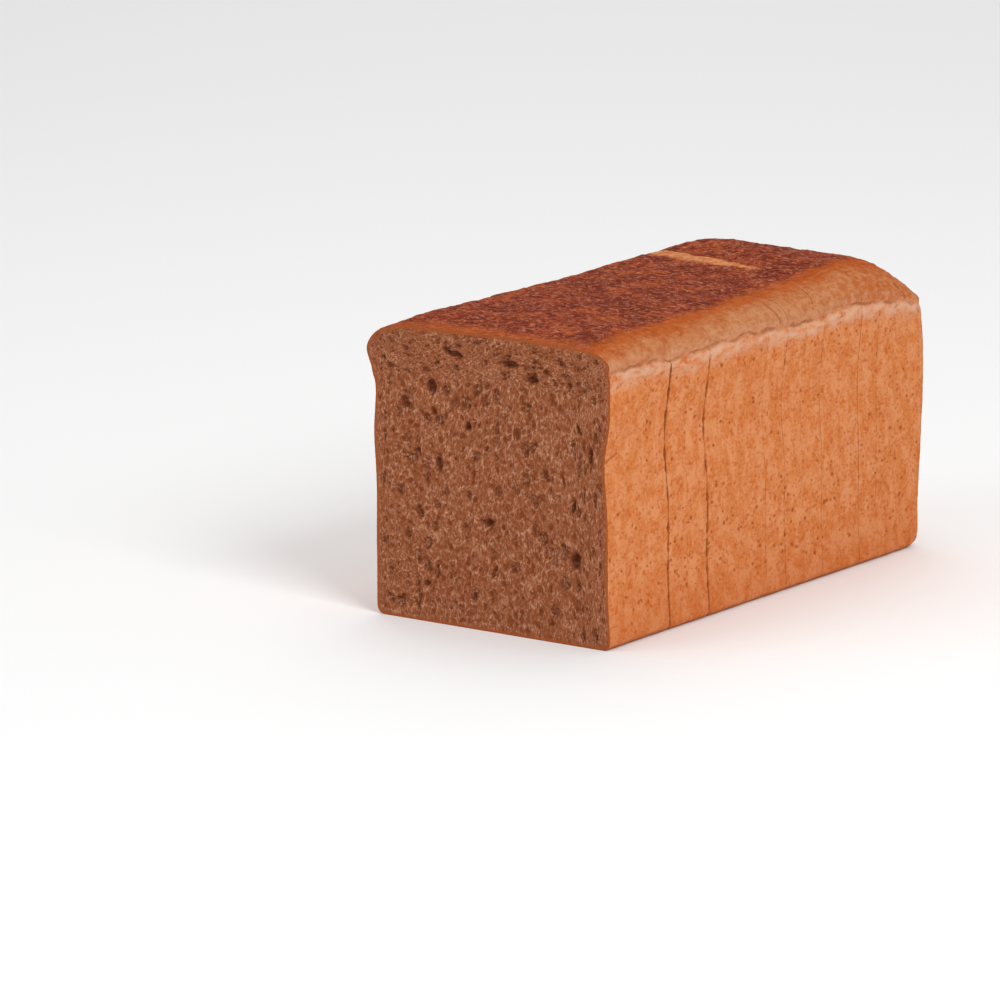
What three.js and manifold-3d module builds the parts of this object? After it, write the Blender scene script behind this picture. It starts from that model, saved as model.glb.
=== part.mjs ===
// A cut wholemeal tin loaf, baked under a flat lid and sliced, standing on its base.
// Millimetres, +Z up. The length runs along +Y from the cut face to the crusty heel, and X is the width.
// The whole loaf is one outline that changes along its length. Knife cuts divide it into slices.
import * as THREE from "three";
import { mergeVertices } from "three/addons/utils/BufferGeometryUtils.js";
import Module from "manifold-3d";

// Driving sizes of the loaf
const LENGTH = 233;
const WIDTH = 109;
const HEIGHT = 115;
const RISE_AT_CUT = { height: 1.6, reach: 30 }; // the top climbs quickly behind the cut face
const RISE_TO_HEEL = { height: 1.9, from: 110, to: 200 }; // and again towards the heel
const CROWN = 1.4; // swell of the top between its long edges
const SLICE_COUNT = 17;

// Edges of the section
const BASE_RADIUS = 3.5;
const LIP_HEIGHT = 0.932; // share of the height at which the lid met the tin
const LIP_FALL = { drop: 9, reach: 48 }; // the lid line runs down round the heel
const LIP_WAVE = 0.8; // how far the lid line wanders up and down
const LIP_WAVELENGTH = 74;
const LIP_BELOW_TOP = 4; // least height of crust above the lid line, at the heel's rounded end
const GROOVE_DEPTH = 1;
const GROOVE_HALF = 2;
const SHOULDER_REACH = 13; // width of the rounded shoulder above the lid line
const SHOULDER_REACH_AT_HEEL = 30;
const SHOULDER_FLAT_AT_HEEL = 0.55; // how far the rounded shoulder turns into a plain slope there
const SHOULDER_WIDENS_AT = 0.72; // share of the length at which the shoulder starts to widen
const EAR_REACH = 11; // width of the rounded ear on the far side
const EAR_HEIGHT = 0.9;
const EAR_BELOW_TOP = 9;

// Swells and waists of the two sides, each a depth, a height as a share and a half height as a share
const WAIST = { depth: 2.3, at: 0.67, half: 0.26 };
const SHOULDER = { depth: 0.9, depthAtHeel: -2.6, at: 0.88, half: 0.18, fade: 42 };
const FOOT = { depth: 1.4, reach: 22 }; // the side spreads a little where it stood on the tin's floor
const WAIST_AT_HEEL = 0.1; // share of the waist that is left at the heel
const FACE_BULGE = { depth: 3, at: 0.765, half: 0.1, fade: 16 };
const EAR = { depth: 5, depthFar: 2.8, at: 0.9, half: 0.11, fade: 45 };
const NICK = { depth: 1, at: 0.79, half: 0.05 };
const BELLY = { depth: 1.5, at: 0.63, half: 0.15 };

// The heel, rounded where the dough met the end of the tin
const HEEL_TOP_REACH = 25;
const HEEL_TOP_DROP = 18;
const HEEL_SIDE_RADIUS = 6.5;
const HEEL_BASE_RADIUS = 11;
const HEEL_TAPER = 6; // how far the tin's end leans in at the base
const HEEL_TAPER_REACH = 28;

// The pale tear across the top, and the raised crust behind it
const TEAR = { y: 171, slant: -0.36, raise: 2, ramp: 12, length: 46 };

// Knife cuts
const TIGHT_GAP = 0.34;
const OPEN_CUTS = { 3: 0.8, 5: 0.8, 7: 0.3, 9: 0.6, 11: 0.3, 14: 0.3 };
const CUT_WANDER = 0.5; // how far a cut leans over the width or the height
const SLICE_SHIFT = 0.12; // sideways play of a slice
const SLICE_LIFT = 0.12; // most that a slice stands off the board
const SEATED_EVERY = 4; // each fourth slice stands flat on the board
const SWELL = 0.25; // softness of the crust between two cuts

// Points round the section
const BASE_STEPS = 5;
const CORNER_STEPS = 4;
const SIDE_STEPS = 10;
const SHOULDER_STEPS = 6;
const TOP_STEPS = 9;
const SLICE_RINGS = 3;
const HEEL_RINGS = 7;
const LARGE_HOLE_SIDES = 10;
const SMALL_HOLE_SIDES = 8;

// Holes in the crumb of the cut face: x from the middle, z above the base, width, height and lean in degrees
const LARGE_HOLES = [
  { x: 18, z: 101, w: 8, h: 3.7, lean: 0 },
  { x: 8, z: 106, w: 10.5, h: 3, lean: 2 },
  { x: 32, z: 109, w: 7, h: 2.2, lean: 25 },
  { x: -18, z: 107, w: 11, h: 2.2, lean: 8 },
  { x: -41, z: 107, w: 4.5, h: 2.4, lean: 0 },
  { x: -29, z: 93, w: 5.6, h: 7.6, lean: 0 },
  { x: -42, z: 86, w: 5.5, h: 5.6, lean: -20 },
  { x: -27, z: 83, w: 2, h: 6, lean: -12 },
  { x: -11, z: 79, w: 3.4, h: 3.6, lean: 0 },
  { x: -35, z: 68, w: 3.2, h: 3, lean: 0 },
  { x: -25, z: 63, w: 4.2, h: 6.7, lean: 0 },
  { x: -31, z: 57, w: 2.4, h: 6, lean: -30 },
  { x: -11, z: 52, w: 3.4, h: 4, lean: 0 },
  { x: 39, z: 33, w: 6, h: 8, lean: 10 },
  { x: 38, z: 54, w: 2.4, h: 8.5, lean: 15 },
  { x: 46, z: 74, w: 2.2, h: 9.5, lean: 0 },
  { x: 29, z: 93, w: 3.2, h: 2.8, lean: 0 },
  { x: 36, z: 101, w: 3, h: 5, lean: 0 },
  { x: 2, z: 69, w: 3.4, h: 3.4, lean: 0 },
  { x: -2, z: 43, w: 7.5, h: 3.8, lean: 0 },
];
const LARGE_HOLE_DEPTH = 0.55; // depth as a share of the mean width
const SMALL_HOLES = 44;
const SMALL_HOLE_SIZE = [1.8, 3.4];
const SMALL_HOLE_DEPTH = 1.1;
const HOLE_SPACING = 1.2;
const CRUST_MARGIN = 9; // no loose hole falls nearer to the crust than this
const SEED = 20417;

const CRUST = { color: 0xd17d4a, roughness: 0.82, metalness: 0 };
const CRUMB = { color: 0x8b573f, roughness: 0.95, metalness: 0 };

const wasm = await Module();
wasm.setup();

const { clamp, lerp, smoothstep } = THREE.MathUtils;

// A repeatable draw between 0 and 1.
function makeDraw(seed) {
  let state = seed >>> 0;
  return () => {
    state = (Math.imul(state, 1664525) + 1013904223) >>> 0;
    return state / 4294967296;
  };
}

// A smooth hump of height 1 at the centre that ends at the half width.
function hump(value, centre, half) {
  const t = clamp(Math.abs(value - centre) / half, 0, 1);
  return 0.5 + 0.5 * Math.cos(Math.PI * t);
}

// How far an edge has drawn in at y where the heel rounds it over this reach, by this much at its end.
function endInset(y, reach, drop) {
  const into = clamp((y - (LENGTH - reach)) / reach, 0, 1);
  return drop * (1 - Math.sqrt(1 - into * into));
}

function topHeight(y) {
  const nearCut = RISE_AT_CUT.height * smoothstep(y, 0, RISE_AT_CUT.reach);
  const beyond = RISE_TO_HEEL.height * smoothstep(y, RISE_TO_HEEL.from, RISE_TO_HEEL.to);
  return HEIGHT + nearCut + beyond - endInset(y, HEEL_TOP_REACH, HEEL_TOP_DROP);
}

function lipHeight(y) {
  const wave = LIP_WAVE * Math.sin((2 * Math.PI * y) / LIP_WAVELENGTH);
  const fall = LIP_FALL.drop * clamp((y - LENGTH) / LIP_FALL.reach + 1, 0, 1) ** 2;
  return Math.min(LIP_HEIGHT * HEIGHT + wave - fall, topHeight(y) - LIP_BELOW_TOP);
}

function rightSide(y, z) {
  const share = z / HEIGHT;
  const bulge = FACE_BULGE.depth * Math.exp(-y / FACE_BULGE.fade);
  const waist = WAIST.depth * lerp(1, WAIST_AT_HEEL, smoothstep(y, LENGTH / 2, LENGTH));
  const swell = lerp(SHOULDER.depth, SHOULDER.depthAtHeel, smoothstep(y, LENGTH - SHOULDER.fade, LENGTH));
  return (
    WIDTH / 2 -
    endInset(y, HEEL_SIDE_RADIUS, HEEL_SIDE_RADIUS) -
    waist * hump(share, WAIST.at, WAIST.half) +
    FOOT.depth * (1 - smoothstep(z, 0, FOOT.reach)) +
    swell * hump(share, SHOULDER.at, SHOULDER.half) +
    bulge * hump(share, FACE_BULGE.at, FACE_BULGE.half) -
    GROOVE_DEPTH * hump(z, lipHeight(y), GROOVE_HALF)
  );
}

function leftSide(y, z) {
  const share = z / HEIGHT;
  const ear = lerp(EAR.depth, EAR.depthFar, smoothstep(y, 0, EAR.fade));
  return (
    -WIDTH / 2 +
    endInset(y, HEEL_SIDE_RADIUS, HEEL_SIDE_RADIUS) -
    ear * hump(share, EAR.at, EAR.half) +
    NICK.depth * hump(share, NICK.at, NICK.half) -
    BELLY.depth * hump(share, BELLY.at, BELLY.half)
  );
}

function topSurface(x, y) {
  const across = clamp((2 * x) / WIDTH, -1, 1);
  const behind = y - (TEAR.y + TEAR.slant * x);
  const rises = smoothstep(behind, 0, TEAR.ramp);
  const settles = 1 - smoothstep(behind, 0.5 * TEAR.length, TEAR.length);
  return topHeight(y) + CROWN * (1 - across * across) + TEAR.raise * rises * settles;
}

// The points of a quarter turn from one end to the other, without its last point.
// A flatness of 1 makes it a straight slope.
function quarter(from, to, steps, startsUpright, flatness = 0) {
  const points = [];
  for (let i = 0; i < steps; i++) {
    const t = i / steps;
    const angle = (Math.PI / 2) * t;
    const rise = startsUpright ? Math.sin(angle) : 1 - Math.cos(angle);
    const run = startsUpright ? 1 - Math.cos(angle) : Math.sin(angle);
    points.push([
      lerp(from[0], to[0], lerp(run, t, flatness)),
      lerp(from[1], to[1], lerp(rise, t, flatness)),
    ]);
  }
  return points;
}

// The closed section at y as [x, z] points, anticlockwise seen from the cut face.
function section(y) {
  const base = endInset(y, HEEL_BASE_RADIUS, HEEL_BASE_RADIUS);
  const lip = lipHeight(y);
  const lowEnd = base + BASE_RADIUS;
  const shoulderStart = lip + GROOVE_HALF;
  const nearHeel = smoothstep(y, SHOULDER_WIDENS_AT * LENGTH, LENGTH);
  const reach = lerp(SHOULDER_REACH, SHOULDER_REACH_AT_HEEL, nearHeel);
  const flatness = SHOULDER_FLAT_AT_HEEL * nearHeel;
  const inset = endInset(y, HEEL_SIDE_RADIUS, HEEL_SIDE_RADIUS);
  const shoulderX = WIDTH / 2 - inset - reach;
  const earX = -WIDTH / 2 + inset + lerp(EAR_REACH, SHOULDER_REACH_AT_HEEL, nearHeel);
  const earStart = Math.min(EAR_HEIGHT * HEIGHT, topHeight(y) - EAR_BELOW_TOP);
  const rightEdge = rightSide(y, lowEnd);
  const leftEdge = leftSide(y, lowEnd);
  const points = [];

  for (let i = 0; i < BASE_STEPS; i++)
    points.push([lerp(leftEdge + BASE_RADIUS, rightEdge - BASE_RADIUS, i / BASE_STEPS), base]);
  points.push(...quarter([rightEdge - BASE_RADIUS, base], [rightEdge, lowEnd], CORNER_STEPS, false));
  for (let i = 0; i < SIDE_STEPS; i++) {
    const z = lerp(lowEnd, lip - GROOVE_HALF, i / SIDE_STEPS);
    points.push([rightSide(y, z), z]);
  }
  for (const z of [lip - GROOVE_HALF, lip]) points.push([rightSide(y, z), z]);
  const shoulder = [rightSide(y, shoulderStart), shoulderStart];
  points.push(...quarter(shoulder, [shoulderX, topSurface(shoulderX, y)], SHOULDER_STEPS, true, flatness));
  for (let i = 0; i < TOP_STEPS; i++) {
    const x = lerp(shoulderX, earX, i / TOP_STEPS);
    points.push([x, topSurface(x, y)]);
  }
  const earTop = [earX, topSurface(earX, y)];
  const earSide = [leftSide(y, earStart), earStart];
  points.push(...quarter(earTop, earSide, SHOULDER_STEPS, false));
  for (let i = 0; i < SIDE_STEPS; i++) {
    const z = lerp(earStart, lowEnd, i / SIDE_STEPS);
    points.push([leftSide(y, z), z]);
  }
  points.push(...quarter([leftEdge, lowEnd], [leftEdge + BASE_RADIUS, base], CORNER_STEPS, true));
  return points;
}

// The lean of the tin's end wall moves the lower points of the heel back.
function leanedY(y, z) {
  const share = smoothstep(y, LENGTH - HEEL_TAPER_REACH, LENGTH);
  return y - HEEL_TAPER * share * (1 - clamp(z / HEIGHT, 0, 1)) ** 2;
}

// A closed solid through rings of points that all have the same count.
function loft(rings) {
  const count = rings[0].length;
  const index = [];
  for (let r = 0; r + 1 < rings.length; r++)
    for (let i = 0; i < count; i++) {
      const next = (i + 1) % count;
      const [a, b] = [r * count + i, r * count + next];
      const [c, d] = [a + count, b + count];
      index.push(a, d, b, a, c, d);
    }
  const flat = (ring) => ring.map((p) => new THREE.Vector2(p.x, p.z));
  const last = (rings.length - 1) * count;
  for (const [a, b, c] of THREE.ShapeUtils.triangulateShape(flat(rings[0]), [])) index.push(a, b, c);
  for (const [a, b, c] of THREE.ShapeUtils.triangulateShape(flat(rings.at(-1)), []))
    index.push(last + a, last + c, last + b);
  const geometry = new THREE.BufferGeometry().setFromPoints(rings.flat());
  geometry.setIndex(index);
  return geometry;
}

// A merged closed geometry as a solid for joining and cutting.
function toSolid(geometry) {
  const bare = geometry.clone();
  bare.deleteAttribute("normal");
  bare.deleteAttribute("uv");
  const merged = mergeVertices(bare, 1e-4);
  return new wasm.Manifold(
    new wasm.Mesh({
      numProp: 3,
      vertProperties: new Float32Array(merged.attributes.position.array),
      triVerts: new Uint32Array(merged.index.array),
    }),
  );
}

function toGeometry(solid) {
  const mesh = solid.getMesh();
  return new THREE.BufferGeometry()
    .setAttribute("position", new THREE.BufferAttribute(mesh.vertProperties, 3))
    .setIndex(new THREE.BufferAttribute(mesh.triVerts, 1));
}

// An egg-shaped hollow in the cut face.
function holeSolid(hole, depth, sides) {
  const egg = new THREE.SphereGeometry(1, sides, sides - 2);
  egg.scale(hole.w / 2, depth, hole.h / 2);
  egg.rotateY(THREE.MathUtils.degToRad(hole.lean));
  egg.translate(hole.x, 0, hole.z);
  return toSolid(egg);
}

// Small holes spread over the crumb by a seeded draw, clear of each other and of the large ones.
function scatterHoles(draw) {
  const placed = [...LARGE_HOLES];
  const small = [];
  const reach = (hole) => Math.max(hole.w, hole.h) / 2;
  while (small.length < SMALL_HOLES) {
    const size = lerp(SMALL_HOLE_SIZE[0], SMALL_HOLE_SIZE[1], draw() ** 2);
    const hole = {
      x: lerp(CRUST_MARGIN, WIDTH - CRUST_MARGIN, draw()) - WIDTH / 2,
      z: lerp(CRUST_MARGIN, HEIGHT - CRUST_MARGIN, draw()),
      w: size * lerp(0.6, 1, draw()),
      h: size,
      lean: lerp(-40, 40, draw()),
    };
    const clear = placed.every(
      (other) => Math.hypot(other.x - hole.x, other.z - hole.z) > reach(other) + reach(hole) + HOLE_SPACING,
    );
    if (!clear) continue;
    placed.push(hole);
    small.push(hole);
  }
  return small;
}

// Each knife cut as a plane: its y in the middle of the loaf, and its lean over the width and the height.
function knifeCuts(draw) {
  const pitch = LENGTH / SLICE_COUNT;
  const cuts = [{ y: 0, acrossX: 0, upZ: 0, gap: 0, open: 0 }];
  for (let i = 1; i < SLICE_COUNT; i++)
    cuts.push({
      y: i * pitch + CUT_WANDER * (draw() - 0.5),
      acrossX: CUT_WANDER * (draw() - 0.5),
      upZ: CUT_WANDER * (draw() - 0.5),
      gap: TIGHT_GAP,
      open: OPEN_CUTS[i] ?? 0,
    });
  return cuts;
}

// The y of one side of a cut at x and z: an open cut gapes towards the near base.
function cutY(cut, x, z, side) {
  const across = x / WIDTH;
  const up = z / HEIGHT - 0.5;
  const gape = cut.open * (0.5 * (0.5 + across) + 0.5 * (0.5 - up));
  return cut.y + cut.acrossX * across + cut.upZ * up + (side * (cut.gap + Math.max(gape, 0))) / 2;
}

// One ring of a slice: the section where the cut crosses it, shifted with the slice.
function ringAt(yAt, shift, swell) {
  const probe = section(yAt(0, HEIGHT / 2));
  return probe.map(([x, z], i) => {
    const y = yAt(x, z);
    const [sx, sz] = section(y)[i];
    const outX = Math.sign(sx) * swell * (1 - hump(sx, 0, WIDTH / 2));
    return new THREE.Vector3(sx + shift.x + outX, leanedY(y, sz), sz + shift.z);
  });
}

function sliceGeometry(front, back, shift) {
  const steps = Array.from({ length: SLICE_RINGS }, (_, i) => i / (SLICE_RINGS - 1));
  return loft(
    steps.map((t) => {
      const yAt = (x, z) => lerp(cutY(front, x, z, 1), cutY(back, x, z, -1), t);
      return ringAt(yAt, shift, SWELL * Math.sin(Math.PI * t));
    }),
  );
}

// The heel's rings crowd together towards its rounded end.
function heelGeometry(front, shift) {
  const crowd = (i) => Math.sin((Math.PI / 2) * (i / (HEEL_RINGS - 1)));
  const steps = Array.from({ length: HEEL_RINGS }, (_, i) => crowd(i));
  return loft(steps.map((t) => ringAt((x, z) => lerp(cutY(front, x, z, 1), LENGTH, t), shift, 0)));
}

// The first slice with the open crumb of its cut face.
function withHoles(geometry, draw) {
  let slice = toSolid(geometry);
  for (const hole of LARGE_HOLES) {
    const depth = (LARGE_HOLE_DEPTH * (hole.w + hole.h)) / 2;
    slice = slice.subtract(holeSolid(hole, depth, LARGE_HOLE_SIDES));
  }
  for (const hole of scatterHoles(draw))
    slice = slice.subtract(holeSolid(hole, SMALL_HOLE_DEPTH, SMALL_HOLE_SIDES));
  return toGeometry(slice);
}

function buildLoaf() {
  const loaf = new THREE.Group();
  const draw = makeDraw(SEED);
  const cuts = knifeCuts(draw);
  for (let k = 0; k < SLICE_COUNT; k++) {
    const seated = k % SEATED_EVERY === 0;
    const shift = { x: SLICE_SHIFT * (2 * draw() - 1), z: seated ? 0 : SLICE_LIFT * draw() };
    const isHeel = k === SLICE_COUNT - 1;
    let geometry = isHeel
      ? heelGeometry(cuts[k], shift)
      : sliceGeometry(cuts[k], cuts[k + 1], shift);
    if (k === 0) geometry = withHoles(geometry, draw);
    const name = isHeel ? "heel" : "slice_" + String(k + 1).padStart(2, "0");
    const mesh = new THREE.Mesh(geometry, new THREE.MeshStandardMaterial(k === 0 ? CRUMB : CRUST));
    mesh.name = name;
    loaf.add(mesh);
  }
  // The origin is the middle of the base.
  const box = new THREE.Box3().setFromObject(loaf);
  const middle = box.getCenter(new THREE.Vector3());
  loaf.position.set(-middle.x, -middle.y, -box.min.z);
  return loaf;
}

export default buildLoaf();
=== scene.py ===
import math

import bpy
from bpy.props import FloatProperty, FloatVectorProperty, PointerProperty
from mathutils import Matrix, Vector


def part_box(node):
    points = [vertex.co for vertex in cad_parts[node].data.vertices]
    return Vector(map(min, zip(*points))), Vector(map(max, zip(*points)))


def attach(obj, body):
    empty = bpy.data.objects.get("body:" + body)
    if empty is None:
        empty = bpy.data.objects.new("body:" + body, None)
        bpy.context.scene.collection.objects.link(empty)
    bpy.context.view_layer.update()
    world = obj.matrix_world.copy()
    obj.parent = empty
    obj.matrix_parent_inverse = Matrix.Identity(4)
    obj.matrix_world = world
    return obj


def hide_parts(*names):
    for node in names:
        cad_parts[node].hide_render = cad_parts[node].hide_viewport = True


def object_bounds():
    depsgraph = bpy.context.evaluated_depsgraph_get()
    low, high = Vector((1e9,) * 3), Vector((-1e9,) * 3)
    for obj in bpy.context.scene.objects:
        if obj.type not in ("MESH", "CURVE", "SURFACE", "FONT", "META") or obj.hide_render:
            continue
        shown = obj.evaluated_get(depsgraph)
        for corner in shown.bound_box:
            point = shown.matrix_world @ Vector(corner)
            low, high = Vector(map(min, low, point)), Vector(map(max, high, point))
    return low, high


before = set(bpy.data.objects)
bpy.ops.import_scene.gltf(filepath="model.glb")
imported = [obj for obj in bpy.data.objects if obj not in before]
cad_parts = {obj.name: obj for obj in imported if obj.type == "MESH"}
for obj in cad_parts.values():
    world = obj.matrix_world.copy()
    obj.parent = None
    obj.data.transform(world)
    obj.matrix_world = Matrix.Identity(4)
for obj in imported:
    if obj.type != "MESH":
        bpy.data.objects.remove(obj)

bl_info = {
    "name": "Sliced wholemeal tin loaf",
    "version": (1, 0, 0),
    "blender": (4, 5, 0),
    "location": "View3D > Sidebar > Loaf",
    "description": "Dresses the packed slices of a tin loaf with crust, crumb and a plain studio",
    "category": "Object",
}

CAD_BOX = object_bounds()
FRONT = CAD_BOX[0][1]  # the knife's plane at the near end
BACK = CAD_BOX[1][1]  # the crusty end
LENGTH = BACK - FRONT
MM = 0.001
BOXES = {name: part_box(name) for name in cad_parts}
SLICES = sorted(name for name in BOXES if name.startswith("slice_"))
CUT_END = SLICES[0]
HEEL = "heel"
# How much of the cut behind a slice gapes, by the slice's number. The other cuts are nearly shut
OPEN_CUTS = {3: 1.0, 5: 1.0, 9: 0.5, 11: 0.3, 14: 0.35}
SHUT_CUT = 0.15
# Short wrinkles of the near side, each as y and z of its two ends
WRINKLES = (
    ((31.3 * MM, 117.3 * MM), (27.5 * MM, 113 * MM)),
    ((0.6 * MM, 115.7 * MM), (2.2 * MM, 109 * MM)),
    ((94.4 * MM, 110.8 * MM), (98.2 * MM, 104.4 * MM)),
    ((-116.5 * MM, 72.8 * MM), (-108.4 * MM, 75.6 * MM)),
)
SLICE_ROUNDING = 4  # how often the faces of a slice are divided to round its crust
HEEL_ROUNDING = 3
CRUMB_SMOOTHING = math.radians(70)  # crumb looks smooth where its faces meet below this angle
CRUST_SMOOTHING = math.radians(55)
SHEEN = 0.03  # bread hardly mirrors any light
CRUMB_ROUGHNESS = 0.92
CRUST_ROUGHNESS = 0.85
TOP_ROUGHNESS = 0.65
FLOOR_SIZE = 12
LOAF_MIDDLE = (0, 0, 60 * MM)
FLOOR_BEHIND = (-1.2, 1.7, 0)
# Each light's name, place, target, size in metres and setting of its power
LIGHTS = (
    ("key", (1.5, -0.7, 1.25), LOAF_MIDDLE, 0.9, "key_power"),
    ("fill", (-1.1, -1.6, 0.9), LOAF_MIDDLE, 1.3, "fill_power"),
    ("overhead", (-0.2, 0.3, 1.7), LOAF_MIDDLE, 1.2, "top_power"),
    ("backdrop", (-1.3, 1.9, 1.6), FLOOR_BEHIND, 2, "back_power"),
)


def paint(red, green, blue):
    """A colour given in screen values from 0 to 255, as the linear colour that a shader takes."""

    def linear(value):
        share = value / 255
        return share / 12.92 if share <= 0.04045 else ((share + 0.055) / 1.055) ** 2.4

    return (linear(red), linear(green), linear(blue))


def length(name, description, default):
    return FloatProperty(
        name=name, description=description, default=default, min=0, subtype="DISTANCE", unit="LENGTH"
    )


def angle(name, description, degrees):
    return FloatProperty(
        name=name, description=description, default=math.radians(degrees), subtype="ANGLE", unit="ROTATION"
    )


def power(name, description, default):
    return FloatProperty(name=name, description=description, default=default, min=0, unit="POWER")


def colour(name, description, default):
    return FloatVectorProperty(
        name=name, description=description, default=default, size=3, min=0, max=1, subtype="COLOR"
    )


class LoafSizes(bpy.types.PropertyGroup):
    """Sizes and places of the relief in crust and crumb, and of the faces that hold it."""

    lid_height: length("Lid line height", "Height of the line where the lid met the tin", 107.2 * MM)
    lid_wave: length("Lid line wave", "How far the lid line wanders up and down", 0.8 * MM)
    lid_wavelength: length("Lid line wavelength", "Length of one wave of the lid line", 74 * MM)
    lid_fall: length("Lid line fall", "How far the lid line runs down at the heel", 9 * MM)
    lid_fall_reach: length("Lid line fall reach", "Length over which it runs down", 48 * MM)
    far_lid_drop: length("Far lid line drop", "How much lower the line runs on the far side", 9 * MM)
    lid_groove: length("Lid groove depth", "Depth of the crease along the lid line", 0.5 * MM)
    lid_swell: length("Lid swell", "Height of the dusty band under the lid line", 0.3 * MM)
    closed_gap: length("Closed gap", "What is left of a cut where the slices touch", 0.015 * MM)
    open_gap: length("Open gap", "Width of a cut that gapes", 0.6 * MM)
    cut_round: length("Cut edge rounding", "How far the crust is rounded off along an open cut", 0.25 * MM)
    wrinkle: length("Wrinkle", "Depth of the short wrinkles of the near side", 0.35 * MM)
    crust_swell: length("Crust swell", "Height of the soft swells of the side crust", 0.3 * MM)
    crust_grain: length("Crust grain", "Height of the fine grain of the side crust", 0.12 * MM)
    top_wrinkles: length("Top wrinkles", "Height of the leathery wrinkles of the top", 0.6 * MM)
    top_blisters: length("Top blisters", "Height of the blisters of the top", 0.5 * MM)
    top_grain: length("Top grain", "Height of the fine grain of the top", 0.3 * MM)
    top_waves: length("Top waves", "Height of the soft waves of the top", 0.9 * MM)
    dark_right: length("Dark top right", "From the middle to its edge on the near side", 42 * MM)
    dark_left: length("Dark top left", "From the middle to its edge on the far side", 46 * MM)
    dark_back: length("Dark top back", "From its edge to the end of the heel", 13 * MM)
    tear_from_cut: length("Tear place", "How far behind the cut face the top is torn", 171 * MM)
    tear_width: length("Tear width", "Width of the pale slope in front of the tear", 10 * MM)
    cell_large: length("Large cells", "Size of the large cells of the crumb", 4.6 * MM)
    cell_middle: length("Middle cells", "Size of the middle cells of the crumb", 2.8 * MM)
    cell_small: length("Small cells", "Size of the small cells of the crumb", 1.25 * MM)
    large_depth: length("Large cell depth", "Depth of the large cells", 1.1 * MM)
    middle_depth: length("Middle cell depth", "Depth of the middle cells", 0.55 * MM)
    small_depth: length("Small cell depth", "Depth of the small cells", 0.2 * MM)
    crumb_rough: length("Crumb roughness", "Height of the rough ground between the cells", 0.5 * MM)
    bump: length("Bump", "Height of the finest grain, which only the shader shows", 0.35 * MM)
    crumb_grain: length("Crumb grain", "Size of the faces that the open crumb is made of", 0.5 * MM)
    heel_grain: length("Heel grain", "Size of the faces of the heel, before they are divided once", 1 * MM)


class LoafColours(bpy.types.PropertyGroup):
    """Colours of crust, crumb and floor, with the painted highlights and painted shade among them."""

    crumb: colour("Crumb", "Mean colour of the crumb", paint(160, 98, 66))
    # Painted highlight: lightens the walls between the cells, light streaks and small glints of the crumb
    crumb_highlight: colour("Crumb wall", "Thin bright walls between the cells", paint(202, 150, 120))
    # Painted shade at the bottom of the cells and in the deep holes
    crumb_pit_shade: colour("Crumb pit", "Bottom of the cells", paint(92, 42, 20))
    # Reddish bran tone of the crumb, also used as painted shade in the small and middle cells
    bran_and_cell_shade: colour("Crumb bran", "Reddish bran in the crumb", paint(126, 62, 33))
    rind: colour("Rind", "Edge of the cut face next to the crust", paint(160, 84, 44))
    side: colour("Side crust", "Main colour of the side crust", paint(199, 117, 64))
    side_light: colour("Pale side crust", "Pale patches of the side crust", paint(213, 145, 99))
    side_dark: colour("Baked side crust", "Orange-brown blotches of the side crust", paint(178, 80, 30))
    # Painted shade on the crust along a cut that gapes
    seam: colour("Cut edge", "Crust along a cut that gapes", paint(146, 70, 28))
    # Dark bran specks, also used as painted shade in the short wrinkles of the near side
    speck_and_wrinkle_shade: colour("Bran specks", "Dark specks of bran", paint(138, 66, 28))
    pale: colour("Lid band", "Dusty band under the lid line", paint(208, 165, 138))
    shoulder_light: colour("Pale shoulder", "Pale patches above the lid line", paint(186, 129, 90))
    shoulder: colour("Shoulder", "Tan crust above the lid line", paint(170, 109, 66))
    orange: colour("Orange band", "Orange rim of the dark top", paint(171, 79, 27))
    # Painted shade in the crease of the lid line
    crease: colour("Crease", "The soft line of the lid", paint(132, 80, 50))
    top: colour("Top crust", "Main colour of the dark top", paint(132, 50, 25))
    # Darker tone of the top in patches, also painted shade in the hollows of its wrinkles and grain
    top_dark_and_hollow_shade: colour("Dark wrinkles", "Hollows of the wrinkled top", paint(92, 29, 13))
    # Painted highlight: a sheen on the ridges and threads of the wrinkled top
    top_highlight: colour("Light threads", "Ridges of the wrinkled top", paint(190, 116, 88))
    tear: colour("Tear", "Pale tear across the top", paint(210, 142, 94))
    floor: colour("Floor", "The pale studio floor", paint(244, 244, 244))


class StudioSettings(bpy.types.PropertyGroup):
    """Camera and light."""

    camera_place: FloatVectorProperty(
        name="Camera place",
        description="Where the camera stands",
        default=(1304.8 * MM, -1936.5 * MM, 542.2 * MM),
        subtype="TRANSLATION",
        unit="LENGTH",
    )
    camera_turn: angle("Camera turn", "How far the camera is turned from looking along the loaf", 35.51)
    camera_dip: angle("Camera dip", "How far the camera looks down", 12.35)
    camera_lens: FloatProperty(
        name="Lens", description="Focal length in millimetres of a 36 mm sensor", default=215, min=1
    )
    key_power: power("Key light", "Power of the key light", 24)
    fill_power: power("Fill light", "Power of the fill light", 8.5)
    top_power: power("Top light", "Power of the top light", 7)
    back_power: power("Backdrop light", "Power of the light on the floor behind", 12)
    world_light: FloatProperty(
        name="Room light", description="Strength of the pale room around", default=0.45, min=0
    )


class Wire:
    """A node's socket that can stand in a Python expression."""

    def __init__(self, bench, socket):
        self.bench = bench
        self.socket = socket

    def other(self, name):
        """Another output of the same node."""
        return Wire(self.bench, self.socket.node.outputs[name])

    def __add__(self, term):
        return self.bench.maths("ADD", self, term)

    __radd__ = __add__

    def __sub__(self, term):
        return self.bench.maths("SUBTRACT", self, term)

    def __rsub__(self, term):
        return self.bench.maths("SUBTRACT", term, self)

    def __mul__(self, term):
        return self.bench.maths("MULTIPLY", self, term)

    __rmul__ = __mul__

    def __truediv__(self, term):
        return self.bench.maths("DIVIDE", self, term)

    def __abs__(self):
        return self.bench.maths("ABSOLUTE", self)


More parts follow.
